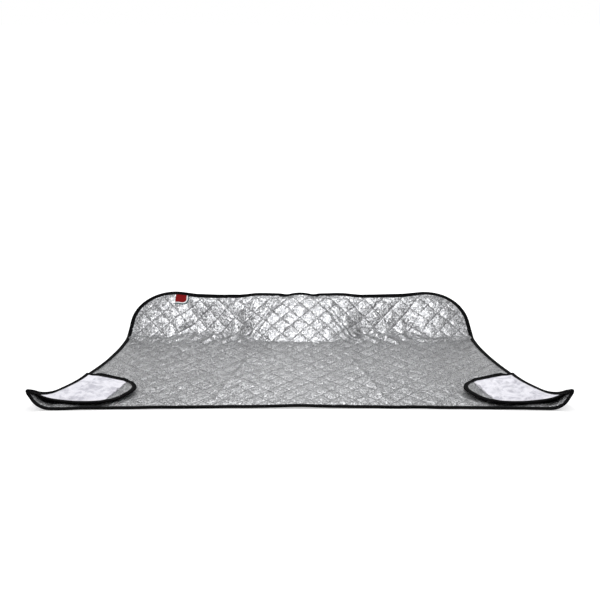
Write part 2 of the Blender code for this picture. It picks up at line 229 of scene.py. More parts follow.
# Fleece: its own colour and the darker tone painted in random patches as painted shade of its
# wrinkles, roughness, sheen and the sheen's roughness, the scale and range of that painted shade,
# and the scale, detail and depth of its tufts and pile
FLEECE_LIGHT = (0.68, 0.672, 0.725)
FLEECE_PAINTED_SHADE = (0.46, 0.455, 0.51)
FLEECE_ROUGH = 0.95
FLEECE_SHEEN = (0.3, 0.6)
PAINTED_SHADE_SCALE = 22.0
PAINTED_SHADE_RANGE = (0.42, 0.66)
TUFTS = (190.0, 2.0, 0.0012)
PILE = (900.0, 3.0, 0.0006)

# Black tape: colour, roughness, gloss, and the scale, unevenness and depth of its ribs
TAPE_BLACK = (0.0022, 0.0022, 0.0025)
TAPE_ROUGH = 0.85
TAPE_GLOSS = 0.03
TAPE_RIBS = (160.0, 0.4, 0.0003)

# Label and thread: roughness, gloss, and the scale and depth of their weave and twist
LABEL_ROUGH = 0.9
LABEL_GLOSS = 0.1
LABEL_WEAVE = (1600.0, 0.0002)
THREAD_ROUGH = 0.6
THREAD_TWIST = (900.0, 0.0001)

# Foil: its tones, with painted glints on light veins and painted shade in dark veins and seams
FOIL_PLAIN = (0.30, 0.304, 0.315)
FOIL_ROUGH = 0.28
FOIL_METALLIC = 0.96
FOIL_MIDDLE = (0.202, 0.204, 0.210)
FOIL_PAINTED_GLINT = (0.43, 0.434, 0.444)
FOIL_PAINTED_SHADE = (0.105, 0.106, 0.110)
FOIL_SEAM_SHADE = (0.138, 0.139, 0.143)

# Foil: its veins' scale, stretch and width, where a seam's painted shade ends, and the depths of
# its fine relief
GLINT_VEINS = (130.0, 0.55, 0.085)
SHADE_VEINS = (165.0, 0.55, 0.10)
SEAM_SHADE_SPAN = (0.007, 0.030)
FACET_SCALE = 110.0
VEIN_RELIEF = 0.0006
FACET_RELIEF = 0.0016
SEAM_RELIEF = 0.0010

# Camera: height above the ground, distance ahead of the front edge, and lens
CAMERA_HEIGHT = 1.20
CAMERA_AHEAD = 2.946
CAMERA_PITCH = math.radians(16.2916)
CAMERA_LENS = 64.8
SENSOR = 36.0

# Studio: the floor, and the light of the surroundings on the object
FLOOR_REACH = 30.0
FLOOR_DROP = 0.0005
FLOOR_COLOUR = (0.72, 0.72, 0.72)
FLOOR_ROUGH = 0.9
FLOOR_GLOW = 0.45
SURROUNDINGS = 0.72

# Distant lamps: name, elevation, azimuth and spread in degrees, and strength
LAMPS = (("overhead", 84, 180, 60, 0.45), ("side", 35, -50, 50, 0.35))

# Flat lamps: name, place, target, width, depth and watts
PANELS = (
    ("softbox", (0, 0.50, 1.50), (0, 0.32, 0.06), 0.4, 1.3, 19),
    ("back_card", (0, 4.3, 1.3), (0, 0, 0), 1.3, 1.6, 7),
)

# Mesh spacing
EDGE_SPACING = 0.005
LATTICE_INSET = 0.6 * EDGE_SPACING
TAPE_SPACING = 0.006
TAPE_LEG_STEPS = 4
TAPE_NOSE_STEPS = 8
FLAP_SPACING = 0.004
FLAP_EDGE_SPACING = 0.003
SMOOTH_ANGLE = math.radians(50)
FOIL_STEPS = 14
LINING_STEPS = 6
COARSE_STEPS = 3


def bend(s, height, start, radius, angle):
    """Distance along the ground and height of points s along a sheet that turns up at `start`."""
    turned = np.clip((s - start) / radius, 0.0, angle)
    past = np.maximum(s - start - radius * angle, 0.0)
    along = np.minimum(s, start) + radius * np.sin(turned) + past * np.cos(angle)
    up = radius * (1 - np.cos(turned)) + past * np.sin(angle)
    return along - height * np.sin(turned), up + height * np.cos(turned)


CREASE_START = CREASE_BACK - CREASE_RADIUS * CREASE_ANGLE / 2
PLAN_DEPTH = float(bend(np.array(REAR_BACK), 0.0, CREASE_START, CREASE_RADIUS, CREASE_ANGLE)[0])
PROP_HEIGHT = (REAR_BACK - CREASE_BACK) * math.sin(CREASE_ANGLE)


def crease_at(x):
    """Start, radius and angle of the crease at each x, which lifts the rear edge to one height."""
    across, middles, radii = np.array(CREASE_RUN).T
    wander = WANDER * value_noise(x, 0 * x, WANDER_CELL, WANDER_SEED)
    middle = np.interp(np.abs(x), across, middles) + wander
    radius = np.interp(np.abs(x), across, radii)
    angle = np.arcsin(PROP_HEIGHT / (REAR_BACK - middle))
    return middle - radius * np.tan(angle / 2), radius, angle


def laid(flat, height):
    """Where the cover's flat points lie, `height` above the underside."""
    across, rise = bend(np.abs(flat[:, 0]), height, CURL_START, CURL_RADIUS, CURL_ANGLE)
    back, tilt = bend(flat[:, 1], height, *crease_at(flat[:, 0]))
    return np.column_stack(
        (np.copysign(across, flat[:, 0]), back - PLAN_DEPTH / 2, rise + tilt - height)
    )


# Flat outlines


def bowed(start, end, bow, count=12):
    """Points from start to end, without the end, on a curve that bows to the left by `bow`."""
    a = np.array(start)
    b = np.array(end)
    left = np.array((a[1] - b[1], b[0] - a[0])) / np.linalg.norm(b - a)
    t = np.arange(count)[:, None] / count
    return a + (b - a) * t + left * 4 * bow * t * (1 - t)


def unit(v):
    return v / np.linalg.norm(v)


def rounded(before, corner, after, radius, steps=12):
    """Points of an arc that rounds a corner between two straight edges."""
    corner = np.array(corner)
    to_before = unit(np.array(before) - corner)
    to_after = unit(np.array(after) - corner)
    half = math.acos(to_before @ to_after) / 2
    centre = corner + unit(to_before + to_after) * radius / math.sin(half)
    first = corner + to_before * radius / math.tan(half) - centre
    turn = math.copysign(1, to_before[1] * to_after[0] - to_before[0] * to_after[1])
    a = turn * (math.pi - 2 * half) * np.arange(steps + 1) / steps
    return centre + np.column_stack(
        (first[0] * np.cos(a) - first[1] * np.sin(a), first[0] * np.sin(a) + first[1] * np.cos(a))
    )


def cubic(a, b, c, d, steps=16):
    """Points of a Bezier curve, both ends included."""
    t = np.arange(steps + 1)[:, None] / steps
    u = 1 - t
    a, b, c, d = (np.array(p) for p in (a, b, c, d))
    return a * u**3 + b * 3 * u * u * t + c * 3 * u * t * t + d * t**3


def mirrored(points):
    return (points * (-1, 1))[::-1]


FRONT_CORNER = (FRONT_HALF, 0.0)
SEAM_LINE = cubic(FRONT_CORNER, SEAM_FRONT_PULL, SEAM_REAR_PULL, SEAM_TOP, SEAM_STEPS)
FLAP_SEAM = SEAM_LINE[round(SEAM_STEPS * FLAP_ROOT_SHARE):]


def cover_edges():
    """The cover's outline, counterclockwise, as its front, right seam, rear and left seam edges."""
    crease = (CREASE_HALF, CREASE_BACK)
    bow = bowed((-FRONT_HALF, 0.0), FRONT_CORNER, FRONT_BOW, LONG_EDGE_STEPS)
    nose = rounded(bow[-1], FRONT_CORNER, SEAM_LINE[1], CORNER_RADIUS, SMALL_ARC_STEPS)
    front = np.vstack((mirrored(nose), bow[1:], nose))
    seam = np.vstack((nose[-1:], SEAM_LINE[2:]))
    side = np.vstack((bowed(SEAM_TOP, crease, SIDE_BOW), crease))
    corner = rounded(crease, (REAR_HALF, REAR_BACK), (-REAR_HALF, REAR_BACK), REAR_RADIUS)
    half = np.vstack((side, corner))
    straight = bowed(half[-1], mirrored(half)[0], REAR_DIP, LONG_EDGE_STEPS)
    rear = np.vstack((half, straight[1:], mirrored(half)))
    return [front, seam, rear, mirrored(seam)]


def flap_free_edge():
    """The right flap's free edge, from its rear root round its tip to the front corner."""
    rear = bowed(SEAM_TOP, FLAP_SHOULDER, 0.0, FLAP_REAR_STEPS)
    tip = cubic(FLAP_SHOULDER, FLAP_TIP_REAR, FLAP_TIP_FRONT, FLAP_HEEL)
    front = cubic(FLAP_HEEL, FLAP_FRONT_LOW, FLAP_FRONT_HIGH, FLAP_SEAM[0])
    return np.vstack((rear, tip[:-1], front))


def closed(*edges):
    """One closed outline from edges that follow each other, without doubled corners."""
    return np.vstack([edge[:-1] for edge in edges])


def resampled(path, spacing):
    """The path with points at most `spacing` apart, and its own corners kept."""
    made = []
    for a, b in zip(path, path[1:]):
        count = max(1, math.ceil(np.linalg.norm(b - a) / spacing))
        made.append(a + (b - a) * np.arange(count)[:, None] / count)
    return np.vstack((*made, path[-1]))


def nearest(points, path):
    """Distance of each point from a path, and the nearest point on it."""
    best = np.full(len(points), np.inf)
    foot = np.zeros_like(points)
    for a, b in zip(path, path[1:]):
        along = b - a
        share = np.clip(((points - a) @ along) / max(along @ along, 1e-12), 0.0, 1.0)
        here = a + share[:, None] * along
        far = np.linalg.norm(points - here, axis=1)
        closer = far < best
        best[closer] = far[closer]
        foot[closer] = here[closer]
    return best, foot


def inside(points, outline):
    """True for each point inside the closed outline."""
    within = np.zeros(len(points), bool)
    for a, b in zip(outline, np.roll(outline, -1, axis=0)):
        if a[1] == b[1]:
            continue
        crosses = (a[1] > points[:, 1]) != (b[1] > points[:, 1])
        edge_x = a[0] + (b[0] - a[0]) * (points[:, 1] - a[1]) / (b[1] - a[1])
        within ^= crosses & (points[:, 0] < edge_x)
    return within


def ring(outline):
    return np.vstack((outline, outline[:1]))


def step(edge, width, value):
    """Smooth step from 0 at `edge` to 1 a `width` further on."""
    t = np.clip((value - edge) / width, 0.0, 1.0)
    return t * t * (3 - 2 * t)


EDGES = cover_edges()
COVER = closed(*EDGES)
FREE_EDGE = flap_free_edge()
REAR_FREE_EDGE = FREE_EDGE[: FLAP_REAR_STEPS + 1]
FLAP = closed(FREE_EDGE, FLAP_SEAM)


def on_right(points):
    return np.column_stack((np.abs(points[:, 0]), points[:, 1]))


def rim_lift(right, past):
    """How far the flap's free edge turns up where it lies on the cover."""
    lifts = []
    for edge, (lift, reach, start, run) in ((FREE_EDGE, TIP_RIM), (REAR_FREE_EDGE, REAR_RIM)):
        far, _ = nearest(right, edge)
        lifts.append(lift * (1 - step(0.0, reach, far)) * step(start, run, past))
    uneven = 1 - RIM_UNEVEN / 2 + waves(right, RIM_UNEVEN, RIM_CELL, RIM_SEED)
    return uneven * np.maximum(*lifts)


def flap_laid(flat, height):
    """Where points of the folded flap lie: in the seam with the cover, then down to rest on it."""
    right = on_right(flat)
    height = np.broadcast_to(height, len(flat))
    far, foot = nearest(right, SEAM_LINE)
    inward = (right - foot) / np.maximum(far, 1e-9)[:, None]
    root = laid(foot + inward * MARGIN, height)
    past = far - MARGIN
    hang = np.clip(1 - past / FLAP_REACH, 0.0, 1.0) ** FLAP_FALL
    spread = np.column_stack(
        (root[:, :2] + inward * past[:, None], height + (root[:, 2] - height) * hang)
    )
    spread[:, 2] += rim_lift(right, past)
    rooted = (past <= 0)[:, None]
    made = np.where(rooted, laid(right, height), spread)
    made[:, 0] = np.copysign(made[:, 0], flat[:, 0])
    return made


# Relief


def value_noise(x, y, cell, seed):
    """Smooth random values from -1 to 1 that change over about one cell."""
    table = np.random.default_rng(seed).uniform(-1, 1, (256, 256))
    gx = x / cell
    gy = y / cell
    ix = np.floor(gx).astype(int)
    iy = np.floor(gy).astype(int)
    fx = gx - ix
    fy = gy - iy
    fx = fx * fx * fx * (fx * (6 * fx - 15) + 10)
    fy = fy * fy * fy * (fy * (6 * fy - 15) + 10)
    low = table[ix % 256, iy % 256] * (1 - fx) + table[(ix + 1) % 256, iy % 256] * fx
    high = table[ix % 256, (iy + 1) % 256] * (1 - fx) + table[(ix + 1) % 256, (iy + 1) % 256] * fx
    return low * (1 - fy) + high * fy


def waves(flat, height, cell, seed, base=0):
    """Smooth random heights over flat points, about `base` times the height."""
    return height * (base + value_noise(flat[:, 0], flat[:, 1], cell, seed))


def turned(flat, angle):
    c = math.cos(angle)
    s = math.sin(angle)
    return flat[:, 0] * c - flat[:, 1] * s, flat[:, 0] * s + flat[:, 1] * c


def crumple(flat, cell, seed):
    """Facets that meet in sharp valleys, from 0 to 1, as crinkled foil has."""
    one, other = FACET_TURNS
    first = 1 - np.abs(value_noise(*turned(flat, one), cell, seed))
    second = 1 - np.abs(value_noise(*turned(flat, other), cell * FACET_RATIO, seed + 1))
    return 1 - np.maximum(first, second)


def diamonds(flat):
    """Diamond coordinates: seams run where either one is whole."""
    across = flat[:, 0] / DIAMOND_WIDTH
    back = (flat[:, 1] - DIAMOND_SHIFT) / DIAMOND_DEPTH
    return across + back, across - back


def pillow(flat):
    """Height of the quilting, 0 on the seams and 1 in the middle of a diamond."""
    u, w = diamonds(flat)
    bulge = 1.0
    for part in (u, w):
        from_middle = 2 * np.abs(part - np.floor(part) - 0.5)
        bulge = bulge * (1 - from_middle**2)
    return bulge**PILLOW_POWER


def puckers(flat):
    """Small wrinkles that run out from the stitched seams, from -1 to 1."""
    u, w = diamonds(flat)
    side = math.hypot(DIAMOND_WIDTH, DIAMOND_DEPTH) / 2
    total = np.zeros(len(flat))
    for across, along in ((u, w), (w, u)):
        seam = np.round(across)
        far = np.abs(across - seam) * side
        stray = value_noise(along * side, seam * PUCKER_STRIDE, PUCKER_CELL, PUCKER_SEED)
        phase = PUCKER_WANDER * stray + seam * PUCKER_SHIFT
        wave = np.sin(2 * math.pi * along * side / PUCKER_WAVE + 2 * math.pi * phase)
        total += wave * np.exp(-far / PUCKER_REACH)
    return total


# Folds of the whole sheet, the same on both sides: start and end on the right half, height and
# half width
FOLDS = (
    ((0.042, 0.850), (0.182, 0.625), 0.0014, 0.005),
    ((0.054, 0.850), (0.193, 0.625), -0.0010, 0.005),
    ((0.066, 0.850), (0.206, 0.625), 0.0018, 0.005),
    ((0.086, 0.835), (0.226, 0.610), -0.0012, 0.005),
    ((0.172, 0.427), (0.252, 0.086), 0.0030, 0.009),
    ((0.190, 0.690), (0.215, 0.620), 0.0040, 0.010),
    ((0.228, 0.672), (0.262, 0.610), 0.0065, 0.010),
    ((0.270, 0.690), (0.300, 0.640), 0.0060, 0.010),
    ((0.300, 0.650), (0.335, 0.600), 0.0065, 0.010),
    ((0.345, 0.700), (0.372, 0.640), 0.0060, 0.010),
    ((0.385, 0.690), (0.430, 0.625), 0.0070, 0.011),
    ((0.446, 0.620), (0.590, 0.665), 0.0040, 0.014),
    ((0.000, 0.886), (0.004, 0.862), 0.0035, 0.022),
    ((0.046, 0.886), (0.052, 0.860), -0.0045, 0.016),
    ((0.140, 0.886), (0.160, 0.866), 0.0025, 0.030),
)


def folds(flat):
    right = on_right(flat)
    total = np.zeros(len(flat))
    for start, end, height, width in FOLDS:
        a = np.array(start)
        along = np.array(end) - a
        share = ((right - a) @ along) / (along @ along)
        far = np.linalg.norm(right - a - np.clip(share, 0, 1)[:, None] * along, axis=1)
        total += height * np.exp(-((far / width) ** 2))
    return total


def billow(flat):
    """How far the whole sheet strays from its plain bends, the same for all its layers."""
    strip = step(*STRIP_RAMP, flat[:, 1])
    wave = waves(flat, *STRIP_WAVE) * strip
    swell = waves(flat, *FLAT_SWELL, base=1) * (1 - strip) * ease_at_edges(flat)
    height, half_width, reach = FRONT_LIFT
    front = height * np.exp(-((flat[:, 0] / half_width) ** 2) - (flat[:, 1] / reach) ** 2)
    ruffle = waves(flat, *RUFFLE, base=1) * (1 - strip)
    return folds(flat) + wave + swell + front + ruffle


def ease_at_edges(flat):
    """0 on the ground along the front and side edges, 1 well inside the sheet."""
    return step(*EDGE_RAMP, nearest(flat, ring(COVER))[0])


def free_of_flap(flat):
    """0 where the folded flap holds the foil flat, 1 clear of it."""
    right = on_right(flat)
    far, _ = nearest(right, ring(FLAP))
    return np.where(inside(right, FLAP), 0.0, step(*FLAP_RAMP, far))


def free_of_label(flat):
    """0 under the label, 1 clear of it."""
    across = np.abs(flat[:, 0] - LABEL_CENTRE_X) - LABEL_WIDTH / 2
    front = REAR_BACK - BINDING_WIDTH - LABEL_DEPTH - flat[:, 1]
    return step(*LABEL_RAMP, np.maximum(across, front))


def room(flat):
    """Height of the smooth sheet's underside above the ground."""
    return laid(flat, 0.0)[:, 2]


def lifted(flat):
    """The sheet's own lift, kept off the ground and out of the folded flap's way."""
    return np.maximum(billow(flat), -SINK_SHARE * room(flat)) * free_of_flap(flat)


def foil_top(flat):
    """Height of the foil's upper side, with its quilting, crumple and puckers."""
    far, _ = nearest(flat, ring(COVER))
    puffed = step(MARGIN, PUFF_RAMP, far) * free_of_flap(flat) * free_of_label(flat)
    strip = step(*FOIL_STRIP_RAMP, flat[:, 1])
    loft = LOFT * (FLAT_LOFT + STRIP_LOFT * strip)
    large = (CRUMPLE + STRIP_CRUMPLE * strip) * crumple(flat, LARGE_FACET, LARGE_SEED)
    small = CRUMPLE * crumple(flat, SMALL_FACET, SMALL_SEED)
    drawn = PUCKER * (FLAT_PUCKER + STRIP_PUCKER * strip) * (1 + puckers(flat))
    return FOIL_TOP + lifted(flat) + puffed * (loft * pillow(flat) + (large + small) + drawn)


def lining_bottom(flat):
    """Height of the lining's underside, drawn up at the seams and kept above the ground."""
    far, _ = nearest(flat, ring(COVER))
    inner = step(MARGIN, LINING_RAMP, far)
    puff = np.minimum(LINING_PUFF * pillow(flat), PUFF_SHARE * room(flat))
    return LINING_RISE * (1 - inner * pillow(flat)) + lifted(flat) - puff * inner


# Meshes


def lattice(outline, steps, keep_off):
    """Points of the diamond grid inside an outline, and off its edge by `keep_off`."""
    low = outline.min(axis=0)
    high = outline.max(axis=0)
    reach = high[0] / DIAMOND_WIDTH + high[1] / DIAMOND_DEPTH + 1
    drop = low[0] / DIAMOND_WIDTH - high[1] / DIAMOND_DEPTH - 1
    ticks = np.arange(math.floor(drop * steps), math.ceil(reach * steps)) / steps
    u, w = (grid.ravel() for grid in np.meshgrid(ticks, ticks))
    points = np.column_stack(
        (DIAMOND_WIDTH * (u + w) / 2, DIAMOND_SHIFT + DIAMOND_DEPTH * (u - w) / 2)
    )
    boxed = np.all((points > low) & (points < high), axis=1)
    points = points[boxed]
    points = points[inside(points, outline)]
    return points[nearest(points, ring(outline))[0] > keep_off]


def triangles(outline, inner):
    """Triangles over an outline and the points inside it, counterclockwise."""
    points = np.vstack((outline, inner))
    border = [(i, (i + 1) % len(outline)) for i in range(len(outline))]
    made, _, faces, origins, _, _ = delaunay_2d_cdt(
        [Vector(p) for p in points.tolist()], border, [], 1, 1e-6
    )
    if len(made) != len(points):
        raise RuntimeError(f"{len(points)} flat points became {len(made)}")
    first = np.array([o[0] for o in origins])
    return points, first[np.array(faces)]


def add_object(name, points, faces, finish, flat=None, smooth_angle=None):
    """One named object of the given faces, with its flat coordinates as a UV map."""
    mesh = bpy.data.meshes.new(name)
    mesh.from_pydata(points.tolist(), [], faces)
    mesh.validate()
    if flat is not None:
        layer = mesh.uv_layers.new(name="flat")
        corners = np.zeros(len(mesh.loops), dtype=np.int32)
        mesh.loops.foreach_get("vertex_index", corners)
        layer.data.foreach_set("uv", flat[corners].ravel().astype(np.float32))
    mesh.shade_smooth()
    if smooth_angle is not None:
        mesh.set_sharp_from_angle(angle=smooth_angle)
    mesh.materials.append(finish)
    made = bpy.data.objects.new(name, mesh)
    bpy.context.scene.collection.objects.link(made)
    return made


def shell(name, outline, top_steps, bottom_steps, top_height, bottom_height, place, finish, side=1):
    """A closed sheet between two height functions of its flat points, laid out by `place`."""
    rim = resampled(ring(outline), EDGE_SPACING)[:-1]
    top, top_faces = triangles(rim, lattice(outline, top_steps, LATTICE_INSET))
    bottom, bottom_faces = triangles(rim, lattice(outline, bottom_steps, LATTICE_INSET))
    count = len(top)
    flat = np.vstack((top, bottom)) * (side, 1)
    heights = np.concatenate((top_height(top * (side, 1)), bottom_height(bottom * (side, 1))))
    i = np.arange(len(rim))
    j = np.roll(i, -1)
    walls = np.vstack(
        (np.column_stack((i, i + count, j)), np.column_stack((j, i + count, j + count)))
    )
    faces = np.vstack((top_faces, bottom_faces[:, ::-1] + count, walls))
    if side < 0:
        faces = faces[:, ::-1]
    return add_object(name, place(flat, heights), faces.tolist(), finish, flat, SMOOTH_ANGLE)


def tape_section(bottom, top):
    """The folded tape's section, as outward and height: a leg below, a round nose, a leg above."""
    middle = (bottom + top) / 2
    nose = EDGE_CLEARANCE + BINDING_NOSE
    arc = np.radians(np.linspace(-90, 90, TAPE_NOSE_STEPS + 1))
    outer = np.column_stack(
        (
            EDGE_CLEARANCE + (nose - EDGE_CLEARANCE) * np.cos(arc),
            middle + (top - middle) * np.sin(arc),
        )
    )
    legs_out = np.linspace(-BINDING_WIDTH, EDGE_CLEARANCE, TAPE_LEG_STEPS, endpoint=False)
    lower = np.column_stack((legs_out, np.full(TAPE_LEG_STEPS, bottom)))
    upper = np.column_stack((legs_out[::-1], np.full(TAPE_LEG_STEPS, top)))
    inner = np.array(
        [
            (-BINDING_WIDTH, top - TAPE),
            (EDGE_CLEARANCE, top - TAPE),
            (EDGE_CLEARANCE, bottom + TAPE),
            (-BINDING_WIDTH, bottom + TAPE),
        ]
    )
    return np.vstack((lower, outer, upper, inner))


def outward_of(path):
    """Outward direction at each point of a counterclockwise path, and the way it goes on."""
    legs = np.diff(path, axis=0)
    legs /= np.linalg.norm(legs, axis=1)[:, None]
    before = np.vstack((legs[:1], legs))
    after = np.vstack((legs, legs[-1:]))
    both = before + after
    out = np.column_stack((both[:, 1], -both[:, 0]))
    out /= np.linalg.norm(out, axis=1)[:, None]
    return out, after


def tape(name, path, ends, bottom, top, place, lift, finish, side=1):
    """A folded tape swept along a flat path, with its two ends cut along the given directions.

    `top` gives its upper height at points of the path.
    """
    path = resampled(path, TAPE_SPACING)
    out, on = outward_of(path)
    out[0], out[-1] = ends
    stretch = 1 / np.sum(out * np.column_stack((on[:, 1], -on[:, 0])), axis=1)
    sections = np.array([tape_section(bottom, high) for high in top(path)])
    section = sections[0]
    n = len(section)
    reach = sections[:, :, 0] * stretch[:, None]
    flat = (path[:, None, :] + out[:, None, :] * reach[:, :, None]).reshape(-1, 2) * (side, 1)
    edge = np.repeat(path, n, axis=0) * (side, 1)
    heights = sections[:, :, 1].ravel() + lift(edge)
    run = np.concatenate(([0.0], np.cumsum(np.linalg.norm(np.diff(path, axis=0), axis=1))))
    around = np.concatenate(([0.0], np.cumsum(np.linalg.norm(np.diff(section, axis=0), axis=1))))
    uv = np.column_stack((np.repeat(run, n), np.tile(around, len(path))))
    faces = []
    for i in range(len(path) - 1):
        for j in range(n):
            k = (j + 1) % n
            faces.append((i * n + j, i * n + k, (i + 1) * n + k, (i + 1) * n + j))
    faces.append(tuple(range(n - 1, -1, -1)))
    last = (len(path) - 1) * n
    faces.append(tuple(range(last, last + n)))
    if side > 0:
        faces = [tuple(reversed(f)) for f in faces]
    return add_object(name, place(flat, heights), faces, finish, uv, SMOOTH_ANGLE)


# Finishes


def new_material(name, colour, roughness, metallic=0.0):
    made = bpy.data.materials.new(name)
    made.use_nodes = True
    made.diffuse_color = (*colour, 1.0)
    shader = made.node_tree.nodes["Principled BSDF"]
    shader.inputs["Base Color"].default_value = (*colour, 1.0)
    shader.inputs["Roughness"].default_value = roughness
    shader.inputs["Metallic"].default_value = metallic
    return made, made.node_tree, shader


def node(tree, kind, **values):
    made = tree.nodes.new(kind)
    for key, value in values.items():
        if key in made.inputs:
            made.inputs[key].default_value = value
        else:
            setattr(made, key, value)
    return made


def bump(tree, height, distance, under=None):
    made = node(tree, "ShaderNodeBump")
    made.inputs["Distance"].default_value = distance
    tree.links.new(height, made.inputs["Height"])
    if under is not None:
        tree.links.new(under, made.inputs["Normal"])
    return made.outputs["Normal"]


def grain(tree, where, kind, relief, under=None, **values):
    """Relief from a texture at the given coordinates."""
    texture = node(tree, kind, **values)
    tree.links.new(where, texture.inputs["Vector"])
    return bump(tree, texture.outputs["Fac"], relief, under)


def seam_distance(tree, flat):
    """Distance from the nearest quilting seam, as a share of a diamond's width."""
    turn = node(tree, "ShaderNodeMapping")
    turn.inputs["Rotation"].default_value = (0, 0, math.radians(45))
    root = math.sqrt(2)
    turn.inputs["Scale"].default_value = (root / DIAMOND_WIDTH, root / DIAMOND_DEPTH, 1)
    shift = DIAMOND_SHIFT / DIAMOND_DEPTH
    turn.inputs["Location"].default_value = (shift, -shift, 0)
    tree.links.new(flat, turn.inputs["Vector"])
    parts = node(tree, "ShaderNodeSeparateXYZ")
    tree.links.new(turn.outputs["Vector"], parts.inputs["Vector"])
    nearer = node(tree, "ShaderNodeMath", operation="MINIMUM")
    for i, axis in enumerate("XY"):
        wave = node(tree, "ShaderNodeMath", operation="PINGPONG")
        wave.inputs[1].default_value = 0.5
        tree.links.new(parts.outputs[axis], wave.inputs[0])
        tree.links.new(wave.outputs[0], nearer.inputs[i])
    return nearer.outputs[0]


def spread(tree, value, low, high, to_low=0.0, to_high=1.0):
    """The value mapped smoothly from one range to another."""
    made = node(tree, "ShaderNodeMapRange", interpolation_type="SMOOTHSTEP")
    made.inputs["From Min"].default_value = low
    made.inputs["From Max"].default_value = high
    made.inputs["To Min"].default_value = to_low
    made.inputs["To Max"].default_value = to_high
    tree.links.new(value, made.inputs["Value"])
    return made.outputs["Result"]


def veins(tree, flat, scale, stretch, width):
    """Thin wandering lines, 1 on a line and 0 off it."""
    drawn = node(tree, "ShaderNodeMapping")
    drawn.inputs["Scale"].default_value = (1, stretch, 1)
    tree.links.new(flat, drawn.inputs["Vector"])
    noise = node(tree, "ShaderNodeTexNoise", Scale=scale, Detail=1.0, Roughness=0.6)
    tree.links.new(drawn.outputs["Vector"], noise.inputs["Vector"])
    middle = node(tree, "ShaderNodeMath", operation="SUBTRACT")
    middle.inputs[1].default_value = 0.5
    tree.links.new(noise.outputs["Fac"], middle.inputs[0])
    size = node(tree, "ShaderNodeMath", operation="ABSOLUTE")
    tree.links.new(middle.outputs[0], size.inputs[0])
    return spread(tree, size.outputs[0], 0.0, width, 1.0, 0.0)


def mixed(tree, factor, a, b):
    """Two colours, or a colour and a socket, mixed by a factor."""
    made = node(tree, "ShaderNodeMix", data_type="RGBA")
    tree.links.new(factor, made.inputs[0])
    for socket, colour in ((made.inputs[6], a), (made.inputs[7], b)):
        if isinstance(colour, tuple):
            socket.default_value = (*colour, 1.0)
        else:
            tree.links.new(colour, socket)
    return made.outputs[2]


def foil_finish():
    made, tree, shader = new_material(
        "quilted_silver_foil_look", FOIL_PLAIN, FOIL_ROUGH, FOIL_METALLIC
    )
    flat = node(tree, "ShaderNodeUVMap", uv_map="flat").outputs["UV"]
    # Lighter veins are painted glints and darker veins are painted shade in the foil's crinkles
    light = veins(tree, flat, *GLINT_VEINS)
    dark = veins(tree, flat, *SHADE_VEINS)
    # A darker band along the quilting seams: painted shade in their valleys
    seam = spread(tree, seam_distance(tree, flat), *SEAM_SHADE_SPAN)
    colour = mixed(tree, dark, FOIL_MIDDLE, FOIL_PAINTED_SHADE)
    colour = mixed(tree, light, colour, FOIL_PAINTED_GLINT)
    colour = mixed(tree, seam, FOIL_SEAM_SHADE, colour)
    tree.links.new(colour, shader.inputs["Base Color"])
    normal = bump(tree, light, VEIN_RELIEF)
    facets = node(tree, "ShaderNodeTexVoronoi", feature="DISTANCE_TO_EDGE", Scale=FACET_SCALE)
    tree.links.new(flat, facets.inputs["Vector"])
    normal = bump(tree, facets.outputs["Distance"], FACET_RELIEF, normal)
    normal = bump(tree, seam, SEAM_RELIEF, normal)
    tree.links.new(normal, shader.inputs["Normal"])
    return made


def fleece_finish():
    made, tree, shader = new_material("white_fleece_look", FLEECE_LIGHT, FLEECE_ROUGH)
    sheen, sheen_rough = FLEECE_SHEEN
    shader.inputs["Sheen Weight"].default_value = sheen
    shader.inputs["Sheen Roughness"].default_value = sheen_rough
    where = node(tree, "ShaderNodeTexCoord").outputs["Object"]
    shade = node(
        tree, "ShaderNodeTexNoise", Scale=PAINTED_SHADE_SCALE, Detail=4.0, Roughness=0.6, Distortion=1.2
    )
    tree.links.new(where, shade.inputs["Vector"])
    # The fleece's colour darkens in random soft patches: painted shade standing in for its
    # wrinkles' shade
    painted_shade = spread(tree, shade.outputs["Fac"], *PAINTED_SHADE_RANGE)
    tree.links.new(mixed(tree, painted_shade, FLEECE_LIGHT, FLEECE_PAINTED_SHADE), shader.inputs["Base Color"])
    normal = None
    for scale, detail, relief in (TUFTS, PILE):
        normal = grain(
            tree, where, "ShaderNodeTexNoise", relief, normal, Scale=scale, Detail=detail
        )
    tree.links.new(normal, shader.inputs["Normal"])
    return made


def tape_finish():
    made, tree, shader = new_material("black_binding_tape_look", TAPE_BLACK, TAPE_ROUGH)
    shader.inputs["Specular IOR Level"].default_value = TAPE_GLOSS
    where = node(tree, "ShaderNodeUVMap", uv_map="flat").outputs["UV"]
    scale, uneven, relief = TAPE_RIBS
    ribs = grain(
        tree, where, "ShaderNodeTexWave", relief,
        bands_direction="X", Scale=scale, Distortion=uneven,
    )
    tree.links.new(ribs, shader.inputs["Normal"])
    return made


def label_finish(name, colour):
    made, tree, shader = new_material(name, colour, LABEL_ROUGH)
    shader.inputs["Specular IOR Level"].default_value = LABEL_GLOSS
    where = node(tree, "ShaderNodeTexCoord").outputs["Object"]
    scale, relief = LABEL_WEAVE
    weave = grain(tree, where, "ShaderNodeTexChecker", relief, Scale=scale)
    tree.links.new(weave, shader.inputs["Normal"])
    return made


def thread_finish(name, colour):
    made, tree, shader = new_material(name, colour, THREAD_ROUGH)
    where = node(tree, "ShaderNodeTexCoord").outputs["Object"]
    scale, relief = THREAD_TWIST
    twist = grain(
        tree, where, "ShaderNodeTexWave", relief, bands_direction="DIAGONAL", Scale=scale
    )
    tree.links.new(twist, shader.inputs["Normal"])
    return made


